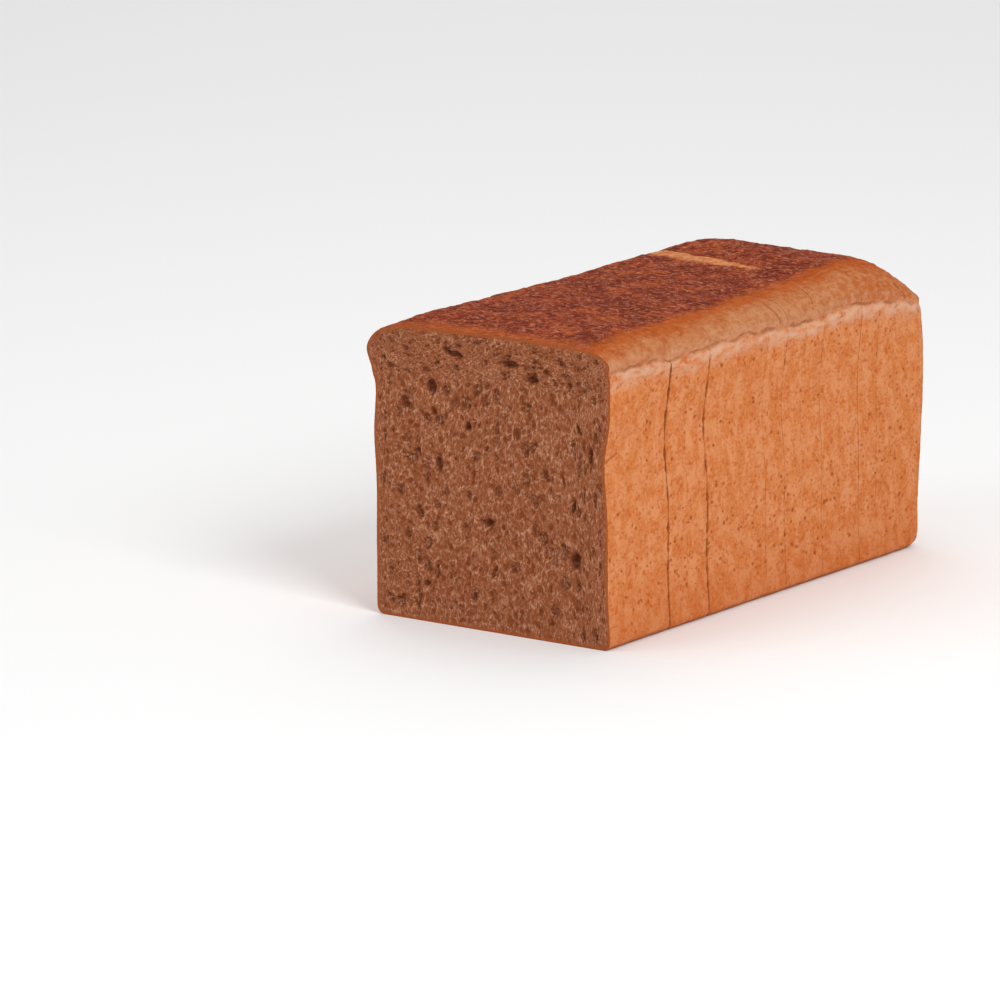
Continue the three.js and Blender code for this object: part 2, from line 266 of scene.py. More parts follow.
class Bench:
    """A node tree that is being filled, for a material or for the relief."""

    def __init__(self, tree):
        self.tree = tree
        tree.nodes.clear()

    def node(self, kind, settings=None, sockets=None, out=0):
        """Adds a node: its settings first, then the values or links of its sockets."""
        added = self.tree.nodes.new(kind)
        for name, value in (settings or {}).items():
            setattr(added, name, value)
        for key, value in (sockets or {}).items():
            if isinstance(value, Wire):
                self.tree.links.new(value.socket, added.inputs[key])
            else:
                added.inputs[key].default_value = value
        return Wire(self, added.outputs[out]) if added.outputs else None

    def maths(self, operation, *terms):
        return self.node("ShaderNodeMath", {"operation": operation}, dict(enumerate(terms)))

    def least(self, first, *rest):
        for term in rest:
            first = self.maths("MINIMUM", first, term)
        return first

    def most(self, first, *rest):
        for term in rest:
            first = self.maths("MAXIMUM", first, term)
        return first

    def smooth(self, value, low, high):
        """0 at low, 1 at high, with soft ends. Low may lie above high."""
        return self.node(
            "ShaderNodeMapRange",
            {"interpolation_type": "SMOOTHSTEP", "clamp": True},
            {"Value": value, "From Min": low, "From Max": high},
        )

    def vector(self, operation, first, second=(0, 0, 0), out=0):
        return self.node("ShaderNodeVectorMath", {"operation": operation}, {0: first, 1: second}, out)

    def join(self, x, y, z):
        return self.node("ShaderNodeCombineXYZ", None, {0: x, 1: y, 2: z})

    def split(self, place):
        x = self.node("ShaderNodeSeparateXYZ", None, {0: place})
        return x, x.other("Y"), x.other("Z")

    def mix(self, share, first, second):
        """From the first colour to the second."""
        shades = {
            key: value if isinstance(value, Wire) else (*value, 1)
            for key, value in ((6, first), (7, second))
        }
        return self.node(
            "ShaderNodeMix", {"data_type": "RGBA", "clamp_factor": True}, {0: share, **shades}, out=2
        )

    def in_grains(self, place, size):
        """The place counted in grains of this size, one number or one for each axis."""
        sizes = size if isinstance(size, tuple) else (size, size, size)
        return self.vector("DIVIDE", place, sizes)

    def noise(self, place, size, detail=2.0, roughness=0.5):
        """Soft noise from 0 to 1 whose grains have this size."""
        spot = self.in_grains(place, size)
        return self.node(
            "ShaderNodeTexNoise",
            {"noise_dimensions": "3D"},
            {"Vector": spot, "Scale": 1, "Detail": detail, "Roughness": roughness},
        )

    def cells(self, place, size, feature="F1"):
        """Cells of this size. The distance is in shares of it, and the colour is a draw for each cell."""
        return self.node(
            "ShaderNodeTexVoronoi",
            {"voronoi_dimensions": "3D", "feature": feature},
            {"Vector": self.in_grains(place, size), "Scale": 1},
            out="Distance",
        )

    def warp(self, place, size, reach):
        """The place pushed about by noise of this size."""
        push = self.noise(place, size, detail=1.0).other("Color")
        centred = self.vector("SUBTRACT", push, (0.5, 0.5, 0.5))
        return self.vector("ADD", place, self.vector("MULTIPLY", centred, (2 * reach,) * 3))


# Fields that both the relief and the colours read, so that they agree


def lid_line(bench, place, sizes):
    """Height of the lid line. It lies lower on the far side, and runs down at the heel."""
    x, y, _ = bench.split(place)
    along = y - FRONT
    wave = bench.maths("SINE", along * (2 * math.pi / sizes.lid_wavelength)) * sizes.lid_wave
    into = bench.most((along - LENGTH) / sizes.lid_fall_reach + 1, 0)
    far = bench.smooth(x, 20 * MM, -20 * MM) * sizes.far_lid_drop
    return wave + sizes.lid_height - into * into * sizes.lid_fall - far


def beside_top(bench, place):
    """1 on the two sides and the heel's end, where the lid line runs."""
    x, y, _ = bench.split(place)
    beside = bench.smooth(abs(x), 10 * MM, 40 * MM)
    behind = bench.smooth(y, BACK - 25 * MM, BACK - 8 * MM)
    return bench.most(beside, behind)


def lid_crease(bench, place, above):
    """1 in the soft crease of the lid line, which wanders and breaks off in places."""
    wander = (bench.noise(place, 8 * MM, detail=3) - 0.5) * (5 * MM)
    line = bench.smooth(abs(above + wander), 1.1 * MM, 0)
    strength = bench.smooth(bench.noise(place, (10 * MM, 10 * MM, 5 * MM), detail=2), 0.36, 0.6)
    return line * (strength * 0.8 + 0.2)


def wrinkle_marks(bench, place):
    """1 along the short wrinkles."""
    x, y, z = bench.split(place)
    wander = (bench.noise(place, 2 * MM, detail=2) - 0.5) * (1 * MM)
    marks = 0
    for (from_y, from_z), (to_y, to_z) in WRINKLES:
        run, rise = to_y - from_y, to_z - from_z
        aside, over = y - from_y, z - from_z
        share = bench.least(bench.most((aside * run + over * rise) / (run * run + rise * rise), 0), 1)
        gap = bench.join(0, aside - share * run, over - share * rise)
        distance = bench.vector("LENGTH", gap, out="Value")
        marks = bench.most(bench.smooth(distance + wander, 0.75 * MM, 0.15 * MM), marks)
    return marks * bench.smooth(x, 38 * MM, 44 * MM)


def behind_tear(bench, place, sizes):
    """How far a point of the top lies behind the tear, which crosses the top at a slant."""
    x, y, _ = bench.split(place)
    slant = 0.27
    jagged = (bench.noise(place, 7 * MM, detail=4, roughness=0.6) - 0.5) * (7 * MM)
    return y - FRONT - sizes.tear_from_cut + x * slant + jagged


def tear_band(bench, place, sizes):
    """1 on the pale slope in front of the tear, which narrows and fades out past the middle of the top."""
    x, _, z = bench.split(place)
    behind = behind_tear(bench, place, sizes)
    fade = bench.smooth(x, 20 * MM, -20 * MM)
    width = (fade * 0.6 + 0.4) * sizes.tear_width
    band = bench.smooth(behind, 0.8 * MM, -0.6 * MM) * bench.smooth(behind / width, -1.15, -0.6)
    return band * bench.smooth(x, 20 * MM, 8 * MM) * bench.smooth(z, 103 * MM, 113 * MM)


def top_wrinkles(bench, place):
    """The leathery wrinkles of the top, from 0 to 1."""
    bent = bench.warp(place, 9 * MM, 3 * MM)
    return bench.noise(bent, (4.2 * MM, 3.4 * MM, 4 * MM), detail=3, roughness=0.6)


def into_dark(bench, place, above, sizes):
    """How far a point lies inside the dark part of the top. Negative outside."""
    x, y, _ = bench.split(place)
    along = y - FRONT
    ragged = (bench.noise(place, 11 * MM, detail=5, roughness=0.6) - 0.5) * (17 * MM)
    steps = bench.smooth(along, 30 * MM, 140 * MM) + bench.smooth(along, 180 * MM, 222 * MM)
    step_width = 6 * MM
    from_right = sizes.dark_right - x - steps * step_width
    from_left = x + sizes.dark_left
    from_back = LENGTH - sizes.dark_back - along
    from_lid = (above - 2.5 * MM) * 2.2
    return bench.least(from_right, from_left, from_back, from_lid) + ragged


def crumb_place(bench, place):
    """Where the crumb pattern is read: cells are flat under the top and narrow beside the crust."""
    x, y, z = bench.split(place)
    near_belt = bench.most(x - 40 * MM, 0)
    far_belt = bench.most(x * -1 - 46 * MM, 0)
    top_belt = bench.most(z - 97 * MM, 0)
    narrow = near_belt * 0.9 - far_belt * 0.7
    flat = top_belt * 1.2
    tall = bench.smooth(x, -35 * MM, 25 * MM) * -0.2 + 0.92
    return bench.join(x + narrow, y, z * tall + flat)


def hollow_cells(bench, place, size, share):
    """Cells of the crumb: 1 inside the open ones, which differ in size, and 1 on the thin walls."""
    distance = bench.cells(place, size)
    draw, reach, _ = bench.split(distance.other("Color"))
    open_cell = bench.smooth(draw, 1 - share - 0.1, 1 - share + 0.1)
    hollow = bench.smooth(distance - reach * 0.28, 0.36, 0.14) * open_cell
    return hollow, bench.smooth(bench.cells(place, size, "DISTANCE_TO_EDGE"), 0.13, 0)


def crumb_cells(bench, place, sizes):
    """The cells of the crumb in three sizes, each as its hollows and its walls."""
    spot = bench.warp(bench.warp(crumb_place(bench, place), 4.5 * MM, 1.6 * MM), 1.6 * MM, 0.4 * MM)
    large = hollow_cells(bench, spot, sizes.cell_large, 0.36)
    middle = hollow_cells(bench, spot, sizes.cell_middle, 0.4)
    small = hollow_cells(bench, spot, sizes.cell_small, 0.6)
    return large, middle, small


# Relief: geometry nodes that are applied to each slice


def relief_tree(name):
    """An empty node group for a modifier."""
    tree = bpy.data.node_groups.new(name, "GeometryNodeTree")
    tree.interface.new_socket("Geometry", in_out="INPUT", socket_type="NodeSocketGeometry")
    tree.interface.new_socket("Geometry", in_out="OUTPUT", socket_type="NodeSocketGeometry")
    return tree


def store(bench, mesh, name, value, domain="POINT"):
    """Keeps a value on the mesh, where later nodes and the material can read it."""
    return bench.node(
        "GeometryNodeStoreNamedAttribute",
        {"data_type": "FLOAT", "domain": domain},
        {"Geometry": mesh, "Name": name, "Value": value},
    )


def recall(bench, name):
    return bench.node("GeometryNodeInputNamedAttribute", {"data_type": "FLOAT"}, {"Name": name})


def crust_height(bench, place, up, sizes):
    """Height of the crust's relief at a point whose normal rises by up."""
    above = bench.split(place)[2] - lid_line(bench, place, sizes)
    swell = (bench.noise(place, (17 * MM, 17 * MM, 21 * MM), detail=1) - 0.5) * (2 * sizes.crust_swell)
    streaks = (bench.noise(place, (2.6 * MM, 2.6 * MM, 7 * MM), detail=2) - 0.5) * (2.2 * sizes.crust_grain)
    grain = (bench.noise(place, 1.4 * MM, detail=2) - 0.5) * (2 * sizes.crust_grain)
    beside = beside_top(bench, place)
    crease = lid_crease(bench, place, above) * beside * sizes.lid_groove
    dusty = bench.smooth(above, -7 * MM, -3 * MM) * bench.smooth(above, 0.5 * MM, -2 * MM)
    wrinkle = wrinkle_marks(bench, place) * sizes.wrinkle
    below = bench.smooth(above, 3 * MM, -3 * MM) * 0.8 + 0.2
    side = swell + (streaks + grain) * below - crease + dusty * beside * sizes.lid_swell

    threads = (top_wrinkles(bench, place) - 0.5) * (2 * sizes.top_wrinkles)
    distance = bench.cells(bench.warp(place, 5 * MM, 1.6 * MM), (5 * MM, 4.2 * MM, 4 * MM), "SMOOTH_F1")
    blisters = (0.45 - distance) * sizes.top_blisters
    fine = (bench.noise(place, 1.5 * MM, detail=2) - 0.5) * sizes.top_grain
    waves = (bench.noise(place, (9 * MM, 13 * MM, 9 * MM), detail=1) - 0.5) * sizes.top_waves
    calm = 1 - tear_band(bench, place, sizes) * 0.6
    top = (threads + blisters + fine) * calm + waves

    on_top = bench.smooth(up, 0.45, 0.85)
    on_base = bench.smooth(up, -0.4, -0.8)
    return (side * (1 - on_top) + top * on_top) * (1 - on_base) - wrinkle


def opened(bench, place, sizes, gape):
    """How open a cut is, from 0 to 1: on the near side below the lid line, and in a few short dashes."""
    x, _, z = bench.split(place)
    above = z - lid_line(bench, place, sizes)
    below = bench.smooth(above, 0, -6 * MM) * bench.smooth(x, 0, 25 * MM)
    start = 0.74 - gape * 0.5
    broken = bench.smooth(bench.noise(place, (30 * MM, 9 * MM, 4.5 * MM), detail=2), start, start + 0.12)
    beads = bench.smooth(bench.noise(place, (30 * MM, 30 * MM, 3 * MM), detail=3), 0.3, 0.62)
    return broken * (beads * 0.65 + 0.35) * below * (0.3 + 0.7 * gape)


def shoot(bench, name, source, direction, reach):
    """Rays at a packed slice: whether each one hits it. Another output holds the distance."""
    target = bench.node(
        "GeometryNodeObjectInfo",
        {"transform_space": "ORIGINAL"},
        {"Object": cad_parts[name]},
        out="Geometry",
    )
    return bench.node(
        "GeometryNodeRaycast",
        {"data_type": "FLOAT"},
        {
            "Target Geometry": target,
            "Source Position": source,
            "Ray Direction": direction,
            "Ray Length": reach,
        },
        out="Is Hit",
    )


def gap_to(bench, place, name, step):
    """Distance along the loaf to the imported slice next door, read a little inside the rim."""
    x, y, z = bench.split(place)
    inward = 0.96
    middle = 60 * MM
    inside = bench.join(x * inward, y, (z - middle) * inward + middle)
    hit = shoot(bench, name, inside, (0, step, 0), 3 * MM)
    return hit.other("Hit Distance") * hit


def pit_depth(bench, place):
    """Depth of the large holes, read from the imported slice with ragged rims."""
    ragged = bench.warp(bench.warp(place, 1.8 * MM, 0.5 * MM), 5 * MM, 0.9 * MM)
    x, _, z = bench.split(ragged)
    lead = 1 * MM
    hit = shoot(bench, CUT_END, bench.join(x, FRONT - lead, z), (0, 1, 0), 8 * MM)
    depth = (hit.other("Hit Distance") - lead) * hit
    return bench.node("GeometryNodeBlurAttribute", {"data_type": "FLOAT"}, {0: depth, "Iterations": 2})


def seat(bench, place, name, sizes):
    """How far a point moves along the loaf to close the cuts, and how much it belongs to an open edge."""
    low, high = BOXES[name]
    order = [*SLICES, HEEL]
    number = order.index(name)
    wander = 3.2 * MM
    ragged = (bench.noise(place, (8 * MM, 30 * MM, 5 * MM), detail=4, roughness=0.6) - 0.5) * wander
    y = bench.split(place)[1]
    move, edge = 0, 0
    for cut, other, face, step in ((number, number - 1, low.y, -1), (number + 1, number + 1, high.y, 1)):
        if not 0 <= other < len(order):
            continue
        near = bench.smooth((y - face) * -step, 3.2 * MM, 1.2 * MM)
        at_edge = bench.smooth((y - face) * -step, 1.6 * MM, 0.3 * MM)
        gape = opened(bench, place, sizes, OPEN_CUTS.get(cut, SHUT_CUT))
        rest = gape * sizes.open_gap + sizes.closed_gap
        closing = (gap_to(bench, place, order[other], step) - rest) * 0.5 + ragged * gape
        move = closing * near * step + move
        edge = gape * at_edge + edge
    return move, edge


def crumb_depth(bench, place, is_cut, sizes):
    """How far the open crumb lies behind the knife's plane: large holes, cells and rough ground."""
    from_crust = recall(bench, "rind")
    holes = pit_depth(bench, place) * bench.smooth(from_crust, 0.5 * MM, 2 * MM)
    (large, _), (middle, _), (small, _) = crumb_cells(bench, place, sizes)
    cells = large * sizes.large_depth + middle * sizes.middle_depth + small * sizes.small_depth
    inner = bench.smooth(from_crust, 1 * MM, 3.5 * MM)
    rough = (bench.noise(place, 1.5 * MM, detail=3, roughness=0.6) - 0.5) * sizes.crumb_rough
    near_front = bench.smooth(bench.split(place)[1], FRONT + 4 * MM, FRONT + 2 * MM)
    return (holes + cells * inner + rough) * is_cut * near_front


def mark_faces(bench, mesh, place, facing, name):
    """Marks the cut faces, and keeps on each point how far it is from the crust."""
    low = BOXES[name][0]
    cut = bench.smooth(abs(facing), 0.45, 0.85)
    if name == HEEL:
        cut = cut * bench.smooth(bench.split(place)[1], low.y + 6 * MM, low.y + 4 * MM)
    mesh = store(bench, mesh, "cut", cut, "FACE")
    crust_only = bench.node(
        "GeometryNodeSeparateGeometry",
        {"domain": "FACE"},
        {"Geometry": mesh, "Selection": bench.maths("LESS_THAN", recall(bench, "cut"), 0.5)},
    )
    to_crust = bench.node(
        "GeometryNodeProximity", {"target_element": "FACES"}, {"Geometry": crust_only}, out="Distance"
    )
    return store(bench, mesh, "rind", to_crust)


def slice_relief(name, sizes):
    """Marks the faces of a slice, then moves its points: outward for the relief, along the loaf to
    close the cuts, and inward for the crumb's cells."""
    low, high = BOXES[name]
    bench = Bench(relief_tree(name + " relief"))
    start = bench.node("NodeGroupInput")
    place = bench.node("GeometryNodeInputPosition")
    normal = bench.node("GeometryNodeInputNormal")
    y = bench.split(place)[1]
    across, facing, up = bench.split(normal)

    mesh = mark_faces(bench, start, place, facing, name)
    is_cut = recall(bench, "cut")
    move, seam = seat(bench, place, name, sizes)
    height = crust_height(bench, place, up, sizes) - seam * sizes.cut_round
    at_rim = bench.smooth(y, FRONT + 3 * MM, FRONT + 1 * MM)
    height = height + bench.most(height * -1, 0) * at_rim
    keep = bench.smooth(y, low.y, low.y + 2 * MM)
    if name != HEEL:
        keep = keep * bench.smooth(y, high.y, high.y - 2 * MM)
    outward = bench.vector("NORMALIZE", bench.join(across, facing * keep, up))
    on_crust = bench.smooth(is_cut, 0.95, 0.7)
    push = bench.node(
        "ShaderNodeVectorMath", {"operation": "SCALE"}, {0: outward, "Scale": height * on_crust}
    )
    # Kept for the material, which paints shade along the open cuts
    mesh = store(bench, mesh, "seam", seam)

    if name == CUT_END:
        depth = crumb_depth(bench, place, is_cut, sizes)
        mesh = store(bench, mesh, "pit", depth / MM)
        move = move + depth
    push = bench.vector("ADD", push, bench.join(0, move, 0))
    moved = bench.node("GeometryNodeSetPosition", None, {"Geometry": mesh, "Offset": push})
    bench.node("NodeGroupOutput", None, {0: moved})
    return bench.tree


# Finish: one bread material, from crumb to crust


def crumb_look(bench, place, sizes, colours):
    """Colour and bump of the crumb. Its colour holds painted shade in the cells and deep holes, and painted
    highlights on the walls, streaks and glints.
    """
    depth = bench.node("ShaderNodeAttribute", {"attribute_name": "pit"}, out="Fac")
    rind = bench.node("ShaderNodeAttribute", {"attribute_name": "rind"}, out="Fac")
    (large, _), (middle, wall), (small, thin_wall) = crumb_cells(bench, place, sizes)
    bent = bench.warp(crumb_place(bench, place), 3 * MM, 1 * MM)
    streak = bench.noise(bent, (0.8 * MM, 0.8 * MM, 1.3 * MM), detail=3, roughness=0.65)
    # Patches where the painted highlights on the crumb are stronger
    lit = bench.smooth(bench.noise(place, 3 * MM, detail=2), 0.35, 0.62)
    # Noise that picks the cells which get more painted shade
    bran = bench.smooth(bench.noise(place, 3.1 * MM, detail=2), 0.52, 0.68)
    tone = bench.smooth(bench.noise(place, 12 * MM, detail=2), 0.35, 0.65)
    glint = bench.smooth(bench.noise(place, 0.55 * MM, detail=1), 0.66, 0.78)

    shade = bench.mix(bench.smooth(streak, 0.35, 0.7) * 0.7 + 0.3, colours.bran_and_cell_shade, colours.crumb)
    shade = bench.mix(tone * 0.25, shade, colours.bran_and_cell_shade)
    # Painted shade in the small and middle cells
    shade = bench.mix(small * 0.45, shade, colours.bran_and_cell_shade)
    shade = bench.mix(middle * 0.75, shade, colours.bran_and_cell_shade)
    # Painted shade in the middle and large cells
    shade = bench.mix(middle * bran * 0.45, shade, colours.crumb_pit_shade)
    shade = bench.mix(large * (bran * 0.3 + 0.42), shade, colours.crumb_pit_shade)
    lines = bench.smooth(streak, 0.38, 0.6)
    # Painted highlights on the cell walls and the streaks, then painted glints
    shade = bench.mix(wall * lines * (lit * 0.5 + 0.15), shade, colours.crumb_highlight)
    shade = bench.mix(thin_wall * lines * (lit * 0.25 + 0.05), shade, colours.crumb_highlight)
    shade = bench.mix(bench.smooth(streak, 0.54, 0.72) * (lit * 0.55 + 0.1), shade, colours.crumb_highlight)
    shade = bench.mix(glint * lit * 0.6, shade, colours.crumb_highlight)
    # Painted shade in the deep holes, darker as they go deeper
    shade = bench.mix(bench.smooth(depth, 0.8, 2.8) * 0.55, shade, colours.crumb_pit_shade)
    ragged = rind + (bench.noise(place, 2 * MM, detail=2) - 0.5) * (1.4 * MM)
    shade = bench.mix(bench.smooth(ragged, 1.9 * MM, 0.4 * MM) * 0.9, shade, colours.rind)
    return shade, streak * 0.7 - small * 0.4


def side_look(bench, place, colours):
    """Colour and bump of the side crust, speckled with bran."""
    z = bench.split(place)[2]
    patches = bench.noise(place, (7 * MM, 7 * MM, 9 * MM), detail=4, roughness=0.6)
    bent = bench.warp(place, 3 * MM, 0.8 * MM)
    blotch = bench.noise(place, (2.3 * MM, 3.8 * MM, 2.5 * MM), detail=4, roughness=0.7)
    streaks = bench.noise(place, (1.5 * MM, 2 * MM, 14 * MM), detail=2)
    fine = bench.noise(bent, (1 * MM, 1.7 * MM, 1.2 * MM), detail=3, roughness=0.7)
    distance = bench.cells(bent, (2.1 * MM, 2.6 * MM, 2.3 * MM))
    draw, size, _ = bench.split(distance.other("Color"))
    specks = bench.smooth(distance - size * 0.22, 0.28, 0.04) * bench.smooth(draw, 0.4, 0.7)
    dark_specks = specks * bench.smooth(draw, 0.84, 0.92)

    shade = bench.mix(bench.smooth(patches, 0.4, 0.62) * 0.7, colours.side, colours.side_light)
    shade = bench.mix(bench.smooth(blotch, 0.53, 0.67) * 0.6, shade, colours.side_dark)
    shade = bench.mix(bench.smooth(streaks, 0.52, 0.72) * 0.15, shade, colours.side_dark)
    shade = bench.mix(bench.smooth(fine, 0.5, 0.66) * 0.5, shade, colours.side_light)
    shade = bench.mix(bench.smooth(fine, 0.47, 0.34) * 0.45, shade, colours.side_dark)
    shade = bench.mix(bench.smooth(z, 30 * MM, 3 * MM) * 0.25, shade, colours.side_dark)
    shade = bench.mix(specks * 0.5, shade, colours.side_dark)
    shade = bench.mix(dark_specks * 0.6, shade, colours.speck_and_wrinkle_shade)
    return shade, fine * 0.8 + blotch * 0.4


def top_look(bench, place, colours):
    """Colour and bump of the wrinkled dark top, with painted highlights on its ridges and painted shade in
    its hollows.
    """
    wrinkles = top_wrinkles(bench, place)
    bent = bench.warp(place, 4 * MM, 1.6 * MM)
    fine = bench.noise(bent, (2.4 * MM, 1.9 * MM, 2 * MM), detail=4, roughness=0.65)
    patches = bench.noise(place, (16 * MM, 14 * MM, 10 * MM), detail=4, roughness=0.65)
    line = bench.noise(bent, (7 * MM, 5 * MM, 5 * MM), detail=3)
    ridge = bench.smooth(abs(line - 0.5), 0.03, 0)
    flecks = bench.smooth(bench.noise(bent, (4 * MM, 3 * MM, 3 * MM), detail=3), 0.52, 0.64)

    shade = bench.mix(bench.smooth(patches, 0.44, 0.6) * 0.6, colours.top, colours.top_dark_and_hollow_shade)
    shade = bench.mix(flecks * 0.45, shade, colours.orange)
    # Painted shade in the hollows of the wrinkles
    shade = bench.mix(bench.smooth(wrinkles, 0.5, 0.38) * 0.8, shade, colours.top_dark_and_hollow_shade)
    shade = bench.mix(bench.smooth(patches, 0.47, 0.35) * 0.5, shade, colours.orange)
    # Painted highlights on the raised grain and along ridge lines
    shade = bench.mix(bench.smooth(fine, 0.53, 0.66) * 0.75, shade, colours.top_highlight)
    shade = bench.mix(ridge * 0.5, shade, colours.top_highlight)
    # Painted shade in the hollows of the fine grain
    shade = bench.mix(bench.smooth(fine, 0.46, 0.38) * 0.75, shade, colours.top_dark_and_hollow_shade)
    return shade, fine * 1.3 + wrinkles


def shoulder_look(bench, place, above, sheer, mottle, colours):
    """Colour of the tan shoulder over the lid line, which is baked darker towards the heel."""
    y = bench.split(place)[1]
    dots = bench.smooth(bench.noise(place, (1.1 * MM, 1.8 * MM, 1.1 * MM), detail=2), 0.6, 0.72)
    baked = bench.smooth(y + sheer * 2, FRONT + 120 * MM, FRONT + 205 * MM)

    shade = bench.mix(bench.smooth(mottle, 0.4, 0.6), colours.shoulder, colours.shoulder_light)
    shade = bench.mix(bench.smooth(mottle, 0.47, 0.36) * 0.4, shade, colours.side_dark)
    shade = bench.mix(bench.smooth(above + sheer, 6 * MM, 0) * 0.35, shade, colours.pale)
    shade = bench.mix(baked * (bench.smooth(mottle, 0.6, 0.42) * 0.6 + 0.2), shade, colours.orange)
    return bench.mix(dots * 0.4, shade, colours.speck_and_wrinkle_shade)


def orange_look(bench, mottle, colours):
    """Colour of the orange band round the dark top."""
    shade = bench.mix(bench.smooth(mottle, 0.5, 0.64) * 0.35, colours.orange, colours.shoulder_light)
    return bench.mix(bench.smooth(mottle, 0.46, 0.36) * 0.6, shade, colours.top)


def add_lid_band(bench, place, above, sheer, shade, colours):
    """The colour with the dusty band and painted shade along the crease of the lid line laid over it."""
    beside = beside_top(bench, place)
    patches = bench.noise(place, (7 * MM, 10 * MM, 3 * MM), detail=5, roughness=0.7)
    from_below = bench.smooth(above + sheer, -9 * MM, -2 * MM)
    from_above = bench.smooth(above + sheer * 0.5, 1.5 * MM, -2 * MM)
    band = from_below * from_above * bench.smooth(patches, 0.32, 0.62)
    shade = bench.mix(band * beside * 0.9, shade, colours.pale)
    # Painted shade along the crease of the lid line
    return bench.mix(lid_crease(bench, place, above) * beside * 0.6, shade, colours.crease)


def crust_look(bench, place, up, sizes, colours):
    """Colour, bump and roughness of the crust from its base to its dark top, with painted shade along the
    open cuts, the lid crease and the short wrinkles.
    """
    y, z = bench.split(place)[1:]
    above = z - lid_line(bench, place, sizes)
    side, side_height = side_look(bench, place, colours)
    top, top_height = top_look(bench, place, colours)
    depth = into_dark(bench, place, above, sizes)
    sheer = (bench.noise(place, (4 * MM, 6 * MM, 4 * MM), detail=5, roughness=0.7) - 0.5) * (7 * MM)
    mottle = bench.noise(place, (2.2 * MM, 3.8 * MM, 2.2 * MM), detail=5, roughness=0.75)
    tan = shoulder_look(bench, place, above, sheer, mottle, colours)
    glow = orange_look(bench, mottle, colours)

    shade = bench.mix(bench.smooth(above + sheer * 0.5, -1 * MM, 2.5 * MM) * 0.85, side, tan)
    shade = bench.mix(bench.smooth(depth + sheer, -18 * MM, -4 * MM) * 0.95, shade, glow)
    dark = bench.smooth(depth + sheer * 1.2, -5 * MM, 4 * MM)
    shade = bench.mix(dark, shade, top)
    rim = bench.smooth(y + sheer, FRONT + 14 * MM, FRONT + 2 * MM) * dark
    shade = bench.mix(rim * (mottle * 1.4), shade, glow)
    shade = add_lid_band(bench, place, above, sheer, shade, colours)
    tear = tear_band(bench, place, sizes)
    torn = bench.mix(bench.smooth(mottle, 0.56, 0.42) * 0.6, colours.tear, colours.orange)
    shade = bench.mix(tear * 0.95, shade, torn)
    shade = bench.mix(bench.smooth(up, -0.4, -0.9) * 0.35, shade, colours.side_dark)
    # Painted shade on the crust beside the open cuts
    seam = bench.node("ShaderNodeAttribute", {"attribute_name": "seam"}, out="Fac")
    shade = bench.mix(seam * 0.75, shade, colours.seam)
    # Painted shade in the short wrinkles
    shade = bench.mix(wrinkle_marks(bench, place) * 0.6, shade, colours.speck_and_wrinkle_shade)

    on_top = bench.smooth(up, 0.45, 0.85)
    height = side_height * (1 - on_top) + top_height * on_top
    return shade, height, CRUST_ROUGHNESS - dark * (1 - tear) * (CRUST_ROUGHNESS - TOP_ROUGHNESS)


def surface_of(bench, sizes, shade, height, roughness):
    """A matt surface of this colour with a fine bump."""
    bump = bench.node(
        "ShaderNodeBump", None, {"Strength": 0.8, "Distance": sizes.bump, "Height": height}
    )
    return bench.node(
        "ShaderNodeBsdfPrincipled",
        None,
        {"Base Color": shade, "Roughness": roughness, "Normal": bump, "Specular IOR Level": SHEEN},
    )


def bread_material(sizes, colours):
    """Crumb where the knife went and crust everywhere else."""
    material = bpy.data.materials.get("wholemeal bread")
    if material:
        return material
    material = bpy.data.materials.new("wholemeal bread")
    material.use_nodes = True
    bench = Bench(material.node_tree)
    place = bench.node("ShaderNodeTexCoord", out="Object")
    normal = bench.node("ShaderNodeNewGeometry", out="Normal")
    up = bench.split(normal)[2]
    cut = bench.node("ShaderNodeAttribute", {"attribute_name": "cut"}, out="Fac")

    crust = surface_of(bench, sizes, *crust_look(bench, place, up, sizes, colours))
    crumb = surface_of(bench, sizes, *crumb_look(bench, place, sizes, colours), CRUMB_ROUGHNESS)
    surface = bench.node("ShaderNodeMixShader", None, {0: cut, 1: crust, 2: crumb})
    bench.node("ShaderNodeOutputMaterial", None, {"Surface": surface})
    return material


# Shaping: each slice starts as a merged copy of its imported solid


def pick_faces(piece, wanted):
    """Selects the faces for which wanted(face) is true, and goes into edit mode."""
    bpy.ops.object.mode_set(mode="EDIT")
    bpy.ops.mesh.select_mode(type="FACE")
    bpy.ops.mesh.select_all(action="DESELECT")
    bpy.ops.object.mode_set(mode="OBJECT")
    for face in piece.data.polygons:
        face.select = wanted(face)
    bpy.ops.object.mode_set(mode="EDIT")


def copy_solid(name):
    """A copy of a packed slice, with the points that its faces share merged."""
    piece = bpy.data.objects.new("bread_" + name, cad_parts[name].data.copy())
    piece.data.materials.clear()
    bpy.context.scene.collection.objects.link(piece)
    bpy.ops.object.select_all(action="DESELECT")
    piece.select_set(True)
    bpy.context.view_layer.objects.active = piece
    bpy.ops.object.mode_set(mode="EDIT")
    bpy.ops.mesh.select_all(action="SELECT")
    bpy.ops.mesh.remove_doubles(threshold=0.005 * MM)
    bpy.ops.object.mode_set(mode="OBJECT")
    return piece


